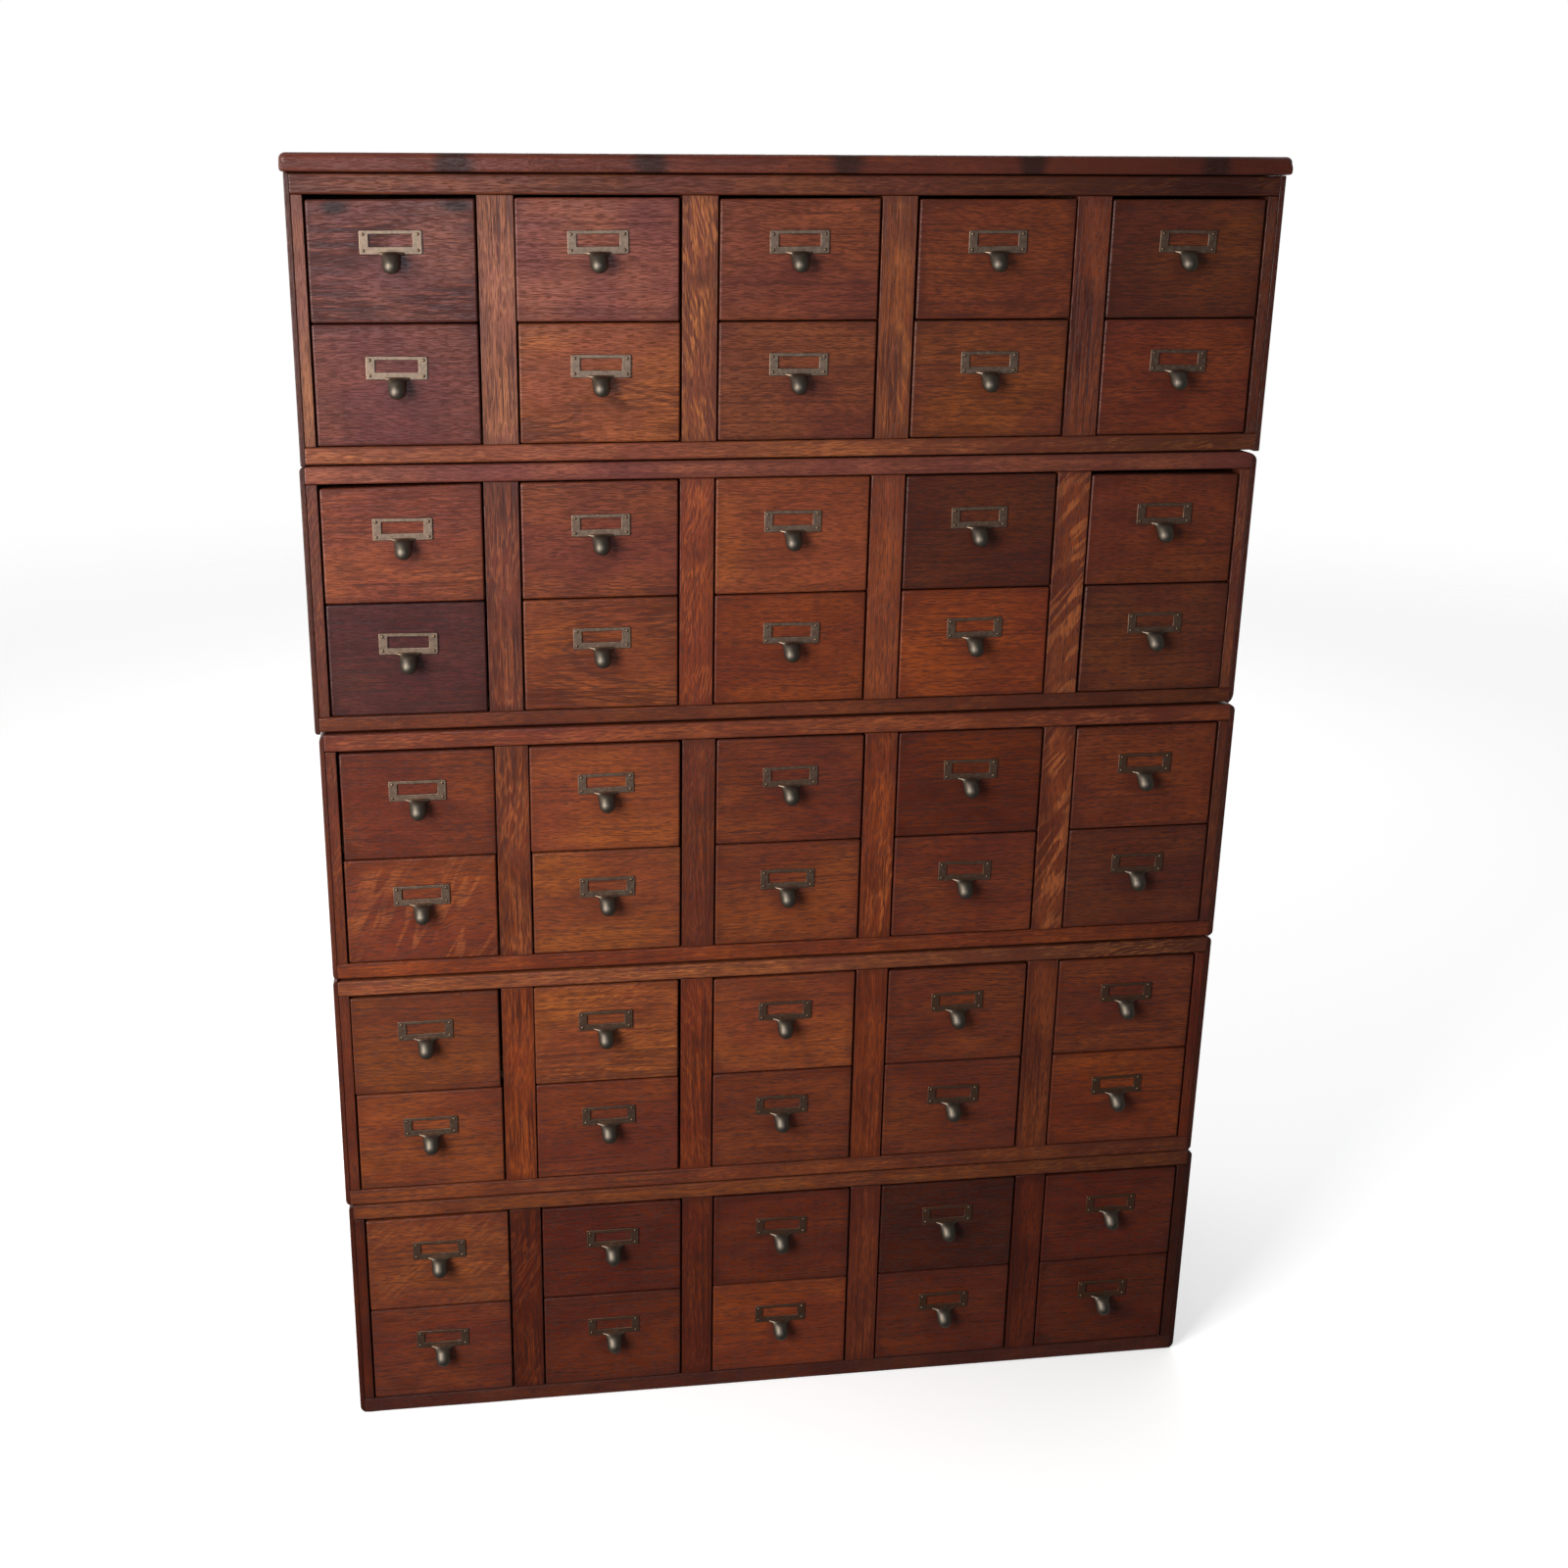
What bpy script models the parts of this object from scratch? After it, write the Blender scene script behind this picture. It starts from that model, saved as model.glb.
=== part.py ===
"""Sectional oak drawer cabinet: five stacked cases of ten card-size drawers under a loose top board.

Metres, +Z up. The origin is the middle of the footprint, on the floor. The drawer fronts face -Y.
Sections count from the top (s1) to the floor (s5), columns from the left (c1) to the right (c5).
"""

import math

import bmesh
import bpy
from mathutils import Vector

# ---------------------------------------------------------------- driving dimensions
SECTIONS = 5
COLUMNS = 5
ROWS = ("upper", "lower")

CLEARANCE = 0.0003          # between faces that rest on each other
BITE = 0.004                # how far a joined board reaches into its neighbour

FRONT_WIDTH = 0.157         # one drawer front
FRONT_HEIGHT = 0.1145
FRONT_THICKNESS = 0.019
COLUMN_PITCH = 0.195
OPENING_WIDTH = 0.1606

SECTION_PITCH = 0.271
CASE_WIDTH = 0.973
CASE_DEPTH = 0.425
SIDE_THICKNESS = 0.0055
RAIL_DEPTH = 0.020
TOP_RAIL = 0.0175
BOTTOM_RAIL = 0.0182
PARTITION_THICKNESS = 0.012
BACK_THICKNESS = 0.008
FLOOR_THICKNESS = 0.006
CORNER_RADIUS = 0.005
CORNER_STEPS = 3

FRONT_LIFT = 0.0008         # lower front above the bottom rail
ROW_GAP = 0.0012            # between the two fronts of a column
RUNNER_HEIGHT = 0.0085
RUNNER_LEDGE = 0.0075       # how far a runner reaches under a drawer side
RUNNER_SETBACK = 0.0005     # runner behind the back of a closed drawer front

BOX_WIDTH = 0.154
BOX_LENGTH = 0.402          # from the face of the front to the end of the sides
BOX_LIFT = 0.009            # box above the bottom edge of the front
SIDE_HEIGHT = 0.092
BACK_HEIGHT = 0.080
BOARD_THICKNESS = 0.009
BOTTOM_THICKNESS = 0.005
BOTTOM_INSET = 0.004
BACK_INSET = 0.003

PLATE_WIDTH = 0.0585        # brass card frame
PLATE_HEIGHT = 0.022
PLATE_THICKNESS = 0.0012
PLATE_RISE = 0.0163         # middle of the plate above the middle of the front
WINDOW_WIDTH = 0.041
WINDOW_HEIGHT = 0.0115
WINDOW_TOP_BAR = 0.0035
PULL_RADIUS = 0.009         # finger pull: a half thimble that points forward and down
PULL_HEIGHT = 0.0085
PULL_LENGTH = 0.0148        # to the start of the domed tip
PULL_TILT = math.radians(35)
PULL_RISE = ((0.0, 0.12), (0.35, 0.62), (1.0, 1.0))     # share of the length to share of the height
PULL_SINK = 0.0005          # let into the wood behind the plate
PULL_SIDES = 5
PULL_DOME_STEPS = 3

TOP_THICKNESS = 0.017
TOP_SIDE_OVERHANG = 0.003
TOP_FRONT_OVERHANG = 0.008
TOP_ROUNDING = 0.004

DRAWER_TRAVEL = 0.33        # along -Y, with the end of the box still held by the case

# Sections stand a little out of line, as a loose stack does.
SECTION_SHIFTS = (0.0, -0.0015, 0.002, 0.0015, 0.004)

# Drawers that sit to one side of their opening: (section, row, column) to sideways play.
DRAWER_PLAY = {
    (1, "upper", 2): -0.0010,
    (1, "upper", 4): 0.0008,
    (2, "lower", 5): 0.0010,
    (3, "upper", 1): 0.0010,
    (3, "upper", 2): -0.0008,
    (4, "upper", 1): -0.0012,
    (4, "upper", 2): -0.0013,
    (4, "lower", 2): -0.0008,
}

# ---------------------------------------------------------------- worked-out dimensions
CASE_HEIGHT = SECTION_PITCH - CLEARANCE
PLATE_BOTTOM = PLATE_RISE - PLATE_HEIGHT / 2
PULL_AXIS = Vector((0.0, -math.sin(PULL_TILT), -math.cos(PULL_TILT)))
PULL_UP = Vector((0.0, -math.cos(PULL_TILT), math.sin(PULL_TILT)))
PULL_DOME_REACH = math.hypot(PULL_RADIUS * math.sin(PULL_TILT), PULL_HEIGHT * math.cos(PULL_TILT))
PULL_REACH = PULL_LENGTH * math.sin(PULL_TILT) + PULL_DOME_REACH - PULL_SINK
FRONT_Y = (PULL_REACH - CASE_DEPTH) / 2
BACK_Y = FRONT_Y + CASE_DEPTH
OPENING_BOTTOM = BOTTOM_RAIL
OPENING_TOP = CASE_HEIGHT - TOP_RAIL
OPENING_HALF = OPENING_WIDTH / 2
CASE_HALF = CASE_WIDTH / 2
COLUMN_CENTRES = [(column - (COLUMNS - 1) / 2) * COLUMN_PITCH for column in range(COLUMNS)]
ROW_BOTTOMS = {
    "lower": BOTTOM_RAIL + FRONT_LIFT,
    "upper": BOTTOM_RAIL + FRONT_LIFT + FRONT_HEIGHT + ROW_GAP,
}

OAK_CASE = (0.150, 0.050, 0.024)
OAK_DRAWER = (0.170, 0.058, 0.028)


# ---------------------------------------------------------------- helpers
def clear_scene():
    """Remove every object that the file starts with."""
    for thing in list(bpy.data.objects):
        bpy.data.objects.remove(thing, do_unlink=True)


def material(name, colour, roughness, metallic=0.0):
    """A plain Principled material."""
    result = bpy.data.materials.new(name)
    result.use_nodes = True
    shader = result.node_tree.nodes["Principled BSDF"]
    shader.inputs["Base Color"].default_value = (*colour, 1.0)
    shader.inputs["Roughness"].default_value = roughness
    shader.inputs["Metallic"].default_value = metallic
    return result


def mesh_from(bm, name):
    """Turn a bmesh into a mesh whose faces point out."""
    bmesh.ops.recalc_face_normals(bm, faces=bm.faces)
    mesh = bpy.data.meshes.new(name)
    bm.to_mesh(mesh)
    bm.free()
    return mesh


def prism(bm, outline, start, end):
    """Extrude a closed outline, given as Vectors, from one offset to another."""
    near = [bm.verts.new(point + start) for point in outline]
    far = [bm.verts.new(point + end) for point in outline]
    bm.faces.new(near)
    bm.faces.new(reversed(far))
    for index in range(len(outline)):
        following = (index + 1) % len(outline)
        bm.faces.new((near[index], far[index], far[following], near[following]))


def box(bm, x, y, z):
    """A closed box from three (low, high) pairs."""
    corners = ((x[0], z[0]), (x[1], z[0]), (x[1], z[1]), (x[0], z[1]))
    outline = [Vector((across, 0, up)) for across, up in corners]
    prism(bm, outline, Vector((0, y[0], 0)), Vector((0, y[1], 0)))


def boxes(name, extents):
    """One mesh of several boxes that don't touch each other."""
    bm = bmesh.new()
    for x, y, z in extents:
        box(bm, x, y, z)
    return mesh_from(bm, name)


def united(name, meshes):
    """Union of closed meshes, as one mesh."""
    things = []
    for index, mesh in enumerate(meshes):
        thing = bpy.data.objects.new(f"{name}_solid_{index}", mesh)
        bpy.context.collection.objects.link(thing)
        things.append(thing)
    base = things[0]
    for other in things[1:]:
        union = base.modifiers.new("join", "BOOLEAN")
        union.operation = "UNION"
        union.solver = "EXACT"
        union.object = other
    graph = bpy.context.evaluated_depsgraph_get()
    result = bpy.data.meshes.new_from_object(base.evaluated_get(graph))
    result.name = name
    for thing in things:
        bpy.data.objects.remove(thing, do_unlink=True)
    return result


def placed(name, mesh, location, surface):
    """A named object with its own place and material."""
    thing = bpy.data.objects.new(name, mesh)
    bpy.context.collection.objects.link(thing)
    thing.location = location
    mesh.materials.clear()
    mesh.materials.append(surface)
    return thing


# ---------------------------------------------------------------- case
def rounded_side(bm, sign):
    """Side panel whose long outer edges are rounded over."""
    outer = sign * CASE_HALF
    inner = sign * (CASE_HALF - SIDE_THICKNESS)
    outline = [Vector((inner, 0, 0)), Vector((inner, 0, CASE_HEIGHT))]
    for centre_z, first in ((CASE_HEIGHT - CORNER_RADIUS, math.pi / 2), (CORNER_RADIUS, 0.0)):
        for step in range(CORNER_STEPS + 1):
            angle = first - step * math.pi / 2 / CORNER_STEPS
            across = outer - sign * CORNER_RADIUS * (1 - math.cos(angle))
            outline.append(Vector((across, 0, centre_z + CORNER_RADIUS * math.sin(angle))))
    prism(bm, outline, Vector((0, FRONT_Y, 0)), Vector((0, BACK_Y, 0)))


def case_sides():
    """Both side panels."""
    bm = bmesh.new()
    rounded_side(bm, -1)
    rounded_side(bm, 1)
    return mesh_from(bm, "sides")


def divider_centres():
    """X of the four partitions between the columns."""
    return [(left + right) / 2 for left, right in zip(COLUMN_CENTRES, COLUMN_CENTRES[1:])]


def case_frame():
    """Front rails, stiles and partitions."""
    inner = CASE_HALF - SIDE_THICKNESS + BITE / 2
    rail_y = (FRONT_Y, FRONT_Y + RAIL_DEPTH)
    rails = [
        ((-inner, inner), rail_y, (0, BOTTOM_RAIL)),
        ((-inner, inner), rail_y, (OPENING_TOP, CASE_HEIGHT)),
    ]
    stile_z = (OPENING_BOTTOM - BITE, OPENING_TOP + BITE)
    stile_half = (COLUMN_PITCH - OPENING_WIDTH) / 2
    opening_edge = COLUMN_CENTRES[-1] + OPENING_HALF
    stiles = [((x - stile_half, x + stile_half), rail_y, stile_z) for x in divider_centres()]
    stiles.append(((-inner, -opening_edge), rail_y, stile_z))
    stiles.append(((opening_edge, inner), rail_y, stile_z))
    half = PARTITION_THICKNESS / 2
    partition_y = (FRONT_Y + RAIL_DEPTH - BITE, BACK_Y - BITE)
    partitions = [
        ((x - half, x + half), partition_y, (FLOOR_THICKNESS - BITE / 2, CASE_HEIGHT - BITE))
        for x in divider_centres()
    ]
    return boxes("rails", rails), boxes("stiles", stiles), boxes("partitions", partitions)


def case_runners():
    """Boards that carry both neighbouring drawers, low on the floor and half way up."""
    reach = COLUMN_PITCH / 2 - BOX_WIDTH / 2 + RUNNER_LEDGE
    end_reach = COLUMN_CENTRES[-1] + BOX_WIDTH / 2 - RUNNER_LEDGE
    inner = CASE_HALF - SIDE_THICKNESS + BITE / 2
    spans = [(x - reach, x + reach) for x in divider_centres()]
    spans += [(-inner, -end_reach), (end_reach, inner)]
    runner_y = (FRONT_Y + FRONT_THICKNESS + RUNNER_SETBACK, BACK_Y - BACK_THICKNESS + BITE / 2)
    extents = []
    for row in ROWS:
        top = ROW_BOTTOMS[row] + BOX_LIFT - CLEARANCE
        bottom = top - RUNNER_HEIGHT if row == "upper" else FLOOR_THICKNESS - BITE / 2
        extents += [(span, runner_y, (bottom, top)) for span in spans]
    return boxes("runners", extents)


def case_mesh():
    """Open-topped case that holds ten drawers."""
    inner = CASE_HALF - SIDE_THICKNESS + BITE / 2
    floor = boxes("floor", [((-inner, inner), (FRONT_Y + BITE, BACK_Y), (0, FLOOR_THICKNESS))])
    back = boxes("back", [((-inner, inner), (BACK_Y - BACK_THICKNESS, BACK_Y), (0, CASE_HEIGHT))])
    rails, stiles, partitions = case_frame()
    return united("case", [floor, back, case_sides(), rails, stiles, partitions, case_runners()])


# ---------------------------------------------------------------- drawer
def drawer_boards():
    """Front, sides, back and bottom, around the middle of the front's face."""
    low = -FRONT_HEIGHT / 2
    half = BOX_WIDTH / 2
    inside = half - BOARD_THICKNESS
    side_low = low + BOX_LIFT
    front = ((-FRONT_WIDTH / 2, FRONT_WIDTH / 2), (0, FRONT_THICKNESS), (low, -low))
    side_y = (FRONT_THICKNESS - BITE, BOX_LENGTH)
    side_z = (side_low, side_low + SIDE_HEIGHT)
    sides = [((-half, -inside), side_y, side_z), ((inside, half), side_y, side_z)]
    reach = inside + BITE
    back_end = BOX_LENGTH - BACK_INSET
    back_low = side_low + BOTTOM_INSET / 2
    back = ((-reach, reach), (back_end - BOARD_THICKNESS, back_end), (back_low, back_low + BACK_HEIGHT))
    bottom_z = (side_low + BOTTOM_INSET, side_low + BOTTOM_INSET + BOTTOM_THICKNESS)
    bottom = ((-reach, reach), (FRONT_THICKNESS - BITE, back_end - BITE), bottom_z)
    return boxes("front", [front]), boxes("sides", sides), boxes("back", [back]), boxes("bottom", [bottom])


def card_frame():
    """Flat brass frame with a window, let a little way into the wood."""
    window_top = PLATE_RISE + PLATE_HEIGHT / 2 - WINDOW_TOP_BAR
    outer = ((-PLATE_WIDTH / 2, PLATE_WIDTH / 2), (PLATE_BOTTOM, PLATE_BOTTOM + PLATE_HEIGHT))
    inner = ((-WINDOW_WIDTH / 2, WINDOW_WIDTH / 2), (window_top - WINDOW_HEIGHT, window_top))
    bm = bmesh.new()
    rings = []
    for y in (-PLATE_THICKNESS, BITE / 4):
        for x, z in (outer, inner):
            corners = ((x[0], z[0]), (x[1], z[0]), (x[1], z[1]), (x[0], z[1]))
            rings.append([bm.verts.new((across, y, up)) for across, up in corners])
    face_outer, face_inner, rear_outer, rear_inner = rings
    for index in range(4):
        following = (index + 1) % 4
        for one, other in (
            (face_outer, face_inner),
            (face_inner, rear_inner),
            (rear_inner, rear_outer),
            (rear_outer, face_outer),
        ):
            bm.faces.new((one[index], one[following], other[following], other[index]))
    return mesh_from(bm, "card_frame")


def finger_pull():
    """Half thimble with a domed end, flat underneath, that leaves the lower edge of the plate."""
    root = Vector((0, PULL_SINK, PLATE_BOTTOM + BITE / 2))
    stations = [(PULL_LENGTH * share, 1.0, rise) for share, rise in PULL_RISE]
    for step in range(1, PULL_DOME_STEPS):
        angle = step * math.pi / 2 / PULL_DOME_STEPS
        stations.append((PULL_LENGTH + PULL_RADIUS * math.sin(angle), math.cos(angle), math.cos(angle)))
    bm = bmesh.new()
    rings = []
    for along, width, height in stations:
        ring = []
        for side in range(PULL_SIDES):
            angle = side * math.pi / (PULL_SIDES - 1)
            across = Vector((PULL_RADIUS * width * math.cos(angle), 0, 0))
            upward = PULL_UP * PULL_HEIGHT * height * math.sin(angle)
            ring.append(bm.verts.new(root + PULL_AXIS * along + across + upward))
        rings.append(ring)
    tip = bm.verts.new(root + PULL_AXIS * (PULL_LENGTH + PULL_RADIUS))
    bm.faces.new(rings[0])
    for ring, following_ring in zip(rings, rings[1:]):
        for side in range(PULL_SIDES):
            following = (side + 1) % PULL_SIDES
            bm.faces.new((ring[side], ring[following], following_ring[following], following_ring[side]))
    for side in range(PULL_SIDES):
        bm.faces.new((rings[-1][side], rings[-1][(side + 1) % PULL_SIDES], tip))
    return mesh_from(bm, "finger_pull")


def drawer_mesh():
    """Whole drawer with its card frame and pull."""
    return united("drawer", [*drawer_boards(), card_frame(), finger_pull()])


# ---------------------------------------------------------------- top board
def top_mesh():
    """Plain board with its upper edges rounded."""
    half = CASE_HALF + TOP_SIDE_OVERHANG
    bm = bmesh.new()
    box(bm, (-half, half), (FRONT_Y - TOP_FRONT_OVERHANG, BACK_Y), (0, TOP_THICKNESS))
    upper = [edge for edge in bm.edges if all(vert.co.z > TOP_THICKNESS / 2 for vert in edge.verts)]
    bmesh.ops.bevel(bm, geom=upper, offset=TOP_ROUNDING, segments=2, profile=0.5, affect="EDGES")
    return mesh_from(bm, "top")


# ---------------------------------------------------------------- assembly
def section_floor(section):
    """Height of a section's underside; the last section stands on the floor."""
    return (SECTIONS - section) * SECTION_PITCH


def build():
    """Model the whole cabinet."""
    clear_scene()
    case_wood = material("oak_case", OAK_CASE, 0.45)
    drawer_wood = material("oak_drawer", OAK_DRAWER, 0.42)
    case = case_mesh()
    drawer = drawer_mesh()
    placed("top_board", top_mesh(), (0, 0, SECTIONS * SECTION_PITCH), case_wood)
    for section in range(1, SECTIONS + 1):
        shift = SECTION_SHIFTS[section - 1]
        floor = section_floor(section)
        placed(f"case_s{section}", case, (shift, 0, floor), case_wood)
        for row in ROWS:
            for column, centre in enumerate(COLUMN_CENTRES, start=1):
                play = DRAWER_PLAY.get((section, row, column), 0.0)
                height = floor + ROW_BOTTOMS[row] + FRONT_HEIGHT / 2
                spot = (shift + centre + play, FRONT_Y, height)
                box_object = placed(f"drawer_s{section}_{row}_c{column}", drawer, spot, drawer_wood)
                box_object["travel"] = DRAWER_TRAVEL


build()
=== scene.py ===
"""Looks of the sectional oak drawer cabinet: separate boards, brass pulls, materials, light and camera.

Metres, +Z up; the drawer fronts face -Y. Sections count from the top, columns from the left.
"""

import math
import random
from dataclasses import dataclass, replace

import bmesh
import bpy
from mathutils import Matrix, Vector, noise


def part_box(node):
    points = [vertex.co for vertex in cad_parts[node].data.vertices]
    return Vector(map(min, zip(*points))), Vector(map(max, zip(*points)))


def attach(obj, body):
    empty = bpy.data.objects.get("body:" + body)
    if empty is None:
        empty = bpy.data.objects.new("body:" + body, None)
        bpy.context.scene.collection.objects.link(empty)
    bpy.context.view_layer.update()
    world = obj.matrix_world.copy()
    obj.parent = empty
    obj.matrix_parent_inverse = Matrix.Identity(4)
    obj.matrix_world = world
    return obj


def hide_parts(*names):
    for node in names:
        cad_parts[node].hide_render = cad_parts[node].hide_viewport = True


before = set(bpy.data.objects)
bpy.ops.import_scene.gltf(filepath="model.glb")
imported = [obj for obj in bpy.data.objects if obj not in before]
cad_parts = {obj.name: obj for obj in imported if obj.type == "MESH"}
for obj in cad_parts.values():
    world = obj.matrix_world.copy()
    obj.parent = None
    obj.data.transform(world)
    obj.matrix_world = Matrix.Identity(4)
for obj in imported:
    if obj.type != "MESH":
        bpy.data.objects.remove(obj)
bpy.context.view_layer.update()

# -------------------------------- sizes that the parts' boxes don't give
SECTIONS = 5
COLUMNS = 5
ROWS = ("upper", "lower")
MM = 0.001

COLUMN_PITCH = 0.195
OPENING_WIDTH = 0.1606
SIDE_THICKNESS = 0.0055
RAIL_DEPTH = 0.020
TOP_RAIL = 0.0175
BOTTOM_RAIL = 0.0182
PARTITION_THICKNESS = 0.012
PARTITION_TOP = 0.004           # below the top edge of the case
BACK_THICKNESS = 0.008
FLOOR_THICKNESS = 0.006
RUNNER_HEIGHT = 0.0085
RUNNER_LEDGE = 0.0075           # how far a runner reaches under a drawer side
GUIDE_HEIGHT = 0.018
GUIDE_PLAY = 0.0024             # between a guide and a drawer side
JOINT = 0.00015                 # half of the dark line where two boards meet
RAIL_TENON = 0.0016             # how far a rail's eased end is let into the side panel

FRONT_WIDTH = 0.157
FRONT_HEIGHT = 0.1145
FRONT_THICKNESS = 0.019
BOX_WIDTH = 0.154
BOX_LENGTH = 0.402              # from the face of the front to the end of the sides
BOX_LIFT = 0.009
SIDE_HEIGHT = 0.092
BACK_HEIGHT = 0.080
BOARD_THICKNESS = 0.009
BOTTOM_THICKNESS = 0.005
BOTTOM_INSET = 0.004
BACK_INSET = 0.003

PLATE_WIDTH = 0.0585
PLATE_HEIGHT = 0.022
PLATE_THICKNESS = 0.0012
PLATE_RISE = 0.0163             # middle of the plate above the middle of the front
PLATE_CORNER = 0.0011
PLATE_SOFTNESS = 0.0003         # rounding of the plate's edges
WINDOW_WIDTH = 0.041
WINDOW_HEIGHT = 0.0115
WINDOW_TOP_BAR = 0.0035
WINDOW_CORNER = 0.0006
PULL_RADIUS = 0.009
PULL_HEIGHT = 0.0085
PULL_LENGTH = 0.0148
PULL_TILT = math.radians(35)
PULL_WALL = 0.0012
PULL_FLARE = 0.0062             # how much wider the pull is where it leaves the plate
PULL_RIDGE = 0.0006
PULL_OVERLAP = 0.002            # how far above the plate's lower edge the pull begins
PULL_AHEAD = 0.0002             # how far in front of the drawer front
PIN_RADIUS = 0.0016
PIN_FLATNESS = 0.55
PIN_FROM_END = 0.0037           # from the middle of a pin to the plate's left or right end
PIN_FROM_EDGE = 0.0036          # and to its upper or lower edge
RING_WIDTH = 0.0036             # of the oak's growth rings

RAIL_EASE = 0.0022              # radius of the boards' rounded edges
STILE_EASE = 0.0007
LEFT_PANEL_EASE = 0.0012
RIGHT_PANEL_EASE = 0.0005
BACK_EASE = 0.0010
FRONT_EASE = 0.0020
BOX_EASE = 0.0010
TOP_EASE_ABOVE = 0.0050
TOP_EASE_BELOW = 0.0016
TOP_EASE_AT_ENDS = 0.0012       # added near the two ends of the plank
TOP_END = 0.02                  # length of plank that counts as an end
EDGE_WEAR = 0.35                # how much that radius varies
EDGE_WEAR_PER_METRE = 90        # and how often along an edge

CORNER_BAND = 0.016             # width of the finer mesh beside the edges of a section's boards
TOP_BAND = 0.005                # and of the top board
BAND_CELL = 0.0016              # size of its cells

# The brass looks older towards the lower right: grime grows with its age, and brown soil faster.
AGE_BY_SECTION = 0.10
AGE_BY_COLUMN = 0.07
SOIL_BY_AGE = 1.3
PIN_GRIME = 0.4

CASE_LOW, CASE_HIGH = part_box("case_s1")
FRONT_Y = CASE_LOW.y
CASE_DEPTH = CASE_HIGH.y - CASE_LOW.y
CASE_HALF = (CASE_HIGH.x - CASE_LOW.x) / 2
CASE_HEIGHT = CASE_HIGH.z - CASE_LOW.z
COLUMN_CENTRES = [(column - (COLUMNS - 1) / 2) * COLUMN_PITCH for column in range(COLUMNS)]
DIVIDER_CENTRES = [(left + right) / 2 for left, right in zip(COLUMN_CENTRES, COLUMN_CENTRES[1:])]

# -------------------------------- camera
camera_data = bpy.data.cameras.new("camera")
camera_data.lens = 38.84
camera_data.shift_x = 0.0791
camera_data.shift_y = -0.0375
camera = bpy.data.objects.new("camera", camera_data)
camera.location = (-0.3394, FRONT_Y - 1.6673, 1.3083)
camera.rotation_euler = (math.radians(90 - 16.486), 0, math.radians(-6.935))
bpy.context.scene.collection.objects.link(camera)
bpy.context.scene.camera = camera


# -------------------------------- writing materials
class Nodes:
    """Short way to write one material's nodes."""

    def __init__(self, name):
        self.material = bpy.data.materials.new(name)
        self.material.use_nodes = True
        self.tree = self.material.node_tree
        self.shader = self.tree.nodes["Principled BSDF"]

    def add(self, kind, feeds, **settings):
        """Add a node; feeds gives what goes into its inputs."""
        node = self.tree.nodes.new(kind)
        for key, value in settings.items():
            setattr(node, key, value)
        for key, value in feeds.items():
            self.feed(node.inputs[key], value)
        return node

    def feed(self, socket, value):
        """Link a socket, or set its constant."""
        if isinstance(value, bpy.types.NodeSocket):
            self.tree.links.new(value, socket)
        else:
            socket.default_value = value

    def attribute(self, name, output="Vector"):
        """Vector, or with "Fac" the number, that a mesh carries on its points."""
        return self.add("ShaderNodeAttribute", {}, attribute_name=name).outputs[output]

    def math(self, operation, *values):
        feeds = dict(enumerate(values))
        return self.add("ShaderNodeMath", feeds, operation=operation).outputs[0]

    def plus(self, first, *others):
        for other in others:
            first = self.math("ADD", first, other)
        return first

    def minus(self, one, other):
        return self.math("SUBTRACT", one, other)

    def times(self, first, *others):
        for other in others:
            first = self.math("MULTIPLY", first, other)
        return first

    def distance(self, one, other):
        """Length of a vector with two parts."""
        return self.math("SQRT", self.plus(self.times(one, one), self.times(other, other)))

    def vector(self, operation, *values):
        feeds = dict(enumerate(values))
        return self.add("ShaderNodeVectorMath", feeds, operation=operation).outputs[0]

    def scale(self, vector, factor):
        """Vector or colour times a number."""
        feeds = {0: vector, "Scale": factor}
        return self.add("ShaderNodeVectorMath", feeds, operation="SCALE").outputs[0]

    def parts(self, vector):
        """The three numbers of a vector."""
        return self.add("ShaderNodeSeparateXYZ", {0: vector}).outputs[:]

    def join(self, x, y, z):
        return self.add("ShaderNodeCombineXYZ", {0: x, 1: y, 2: z}).outputs[0]

    def noise(self, vector, along, across, detail=1.0, roughness=0.5):
        """Noise round 0.5; along and across say how many of its features fit in a unit of length."""
        stretched = self.vector("MULTIPLY", vector, (along, across, across))
        feeds = {"Vector": stretched, "Scale": 1.0, "Detail": detail, "Roughness": roughness}
        return self.add("ShaderNodeTexNoise", feeds).outputs[0]

    def line_noise(self, value, detail):
        """Noise along one number."""
        feeds = {"W": value, "Scale": 1.0, "Detail": detail, "Roughness": 0.6}
        return self.add("ShaderNodeTexNoise", feeds, noise_dimensions="1D").outputs[0]

    def ridges(self, vector, along, across, outside, inside):
        """Thin wandering lines, where a noise passes through its middle value."""
        off_middle = self.math("ABSOLUTE", self.minus(self.noise(vector, along, across), 0.5))
        return self.step(off_middle, outside, inside)

    def step(self, value, start, end):
        """Smooth step from 0 at start to 1 at end."""
        feeds = {"Value": value, "From Min": start, "From Max": end}
        return self.add("ShaderNodeMapRange", feeds, interpolation_type="SMOOTHSTEP").outputs[0]

    def mix(self, factor, one, other):
        """Mix two colours."""
        feeds = {0: factor, 6: one, 7: other}
        return self.add("ShaderNodeMix", feeds, data_type="RGBA").outputs[2]

    def bump(self, height, strength):
        """Give the shader's surface a relief in metres."""
        node = self.add("ShaderNodeBump", {"Strength": strength, "Distance": 1.0, "Height": height})
        self.feed(self.shader.inputs["Normal"], node.outputs[0])


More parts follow.
